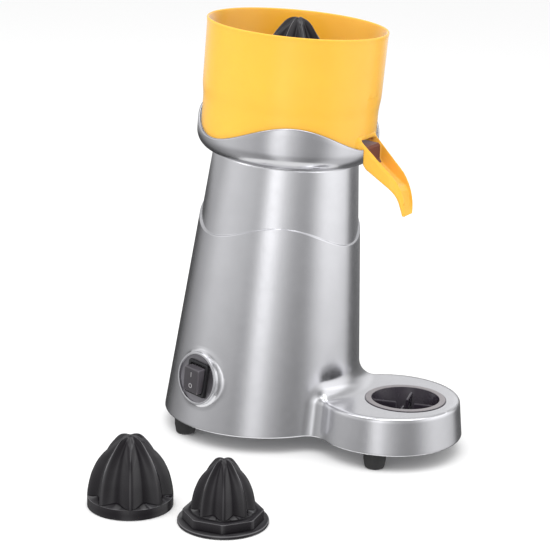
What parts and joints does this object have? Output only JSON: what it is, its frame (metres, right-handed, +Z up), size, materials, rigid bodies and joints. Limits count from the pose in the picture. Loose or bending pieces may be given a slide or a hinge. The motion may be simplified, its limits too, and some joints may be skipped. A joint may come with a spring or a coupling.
{
  "type": "citrus press juicer",
  "caption": "Electric citrus press: leaning cast motor column with a glass stand, yellow bowl with spout, ribbed reamer, drip cup, rocker switch and spare reamers.",
  "frame": {"origin": "on the surface the feet stand on, under the foot of the motor column's axis", "axes": "+X from the column to the glass stand and spout, +Z up, Y = 0 is the plane of symmetry"},
  "size_m": [0.3143, 0.3938, 0.4159],
  "materials": {
    "cast_aluminium": "brushed satin die casting",
    "satin_aluminium": "satin, polished edge",
    "plate_steel": "satin",
    "screw_steel": "zinc plated",
    "foot_rubber": "matt",
    "seal_rubber": "matt",
    "stator_steel": "laminated",
    "copper_winding": "enamelled wire",
    "bell_aluminium": "as cast",
    "bearing_steel": "ground",
    "stainless_steel": "brushed",
    "fan_plastic": "matt",
    "capacitor_plastic": "gloss",
    "terminal_plastic": "matt",
    "switch_plastic": "semi-gloss",
    "rocker_plastic": "semi-gloss",
    "black_plastic": "semi-gloss",
    "yellow_plastic": "gloss",
    "reamer_plastic": "gloss"
  },
  "bodies": {
    "machine": {"housing": "cast_aluminium", "stand": "cast_aluminium", "base_plate": "plate_steel", "base_plate_screws": "screw_steel", "feet": "foot_rubber", "foot_screws": "screw_steel", "collar": "satin_aluminium", "collar_gasket": "seal_rubber", "collar_screws": "screw_steel", "shaft_seal": "seal_rubber", "motor_stator": "stator_steel", "stator_windings": "copper_winding", "top_end_bell": "bell_aluminium", "bottom_end_bell": "bell_aluminium", "motor_tie_bolts": "screw_steel", "motor_screws": "screw_steel", "upper_bearing": "bearing_steel", "lower_bearing": "bearing_steel", "run_capacitor": "capacitor_plastic", "capacitor_clamp": "plate_steel", "terminal_block": "terminal_plastic", "switch_seal": "seal_rubber", "switch_body": "switch_plastic", "cable_inlet_bush": "seal_rubber"},
    "drive": {"rotor": "stator_steel", "drive_shaft": "stainless_steel", "drive_pin": "stainless_steel", "cooling_fan": "fan_plastic"},
    "reamer": {"reamer": "reamer_plastic"},
    "bowl": {"bowl": "yellow_plastic", "bowl_sleeve": "yellow_plastic", "bowl_foot": "yellow_plastic"},
    "strainer": {"strainer": "stainless_steel"},
    "rocker": {"switch_rocker": "rocker_plastic", "rocker_pin": "screw_steel"},
    "drip_cup": {"drip_cup": "black_plastic"},
    "large_reamer": {"large_reamer": "reamer_plastic"},
    "small_reamer": {"small_reamer": "reamer_plastic"}
  },
  "joints": [
    {"name": "drive_spin", "type": "hinge", "parent": "machine", "child": "drive", "pos_m": [0.0155, 0, 0.21544], "axis": [0.075, 0, 0.9972], "continuous": true},
    {"name": "reamer_lift", "type": "slide", "parent": "drive", "child": "reamer", "axis": [0.075, 0, 0.9972], "range_m": [0, 0.08]},
    {"name": "bowl_lift", "type": "slide", "parent": "machine", "child": "bowl", "axis": [0.075, 0, 0.9972], "range_m": [0, 0.012]},
    {"name": "strainer_lift", "type": "slide", "parent": "bowl", "child": "strainer", "axis": [0.075, 0, 0.9972], "range_m": [0, 0.095]},
    {"name": "rocker_tilt", "type": "hinge", "parent": "machine", "child": "rocker", "pos_m": [-0.02202, -0.09177, 0.06743], "axis": [-0.9586, 0.2756, 0.0721], "range_deg": [0, 12]},
    {"name": "drip_cup_lift", "type": "slide", "parent": "machine", "child": "drip_cup", "axis": [0, 0, 1], "range_m": [0, 0.06]},
    {"name": "large_reamer_lift", "type": "slide", "parent": "machine", "child": "large_reamer", "axis": [0, 0, 1], "range_m": [0, 0.1]},
    {"name": "small_reamer_lift", "type": "slide", "parent": "machine", "child": "small_reamer", "axis": [0, 0, 1], "range_m": [0, 0.1]}
  ]
}
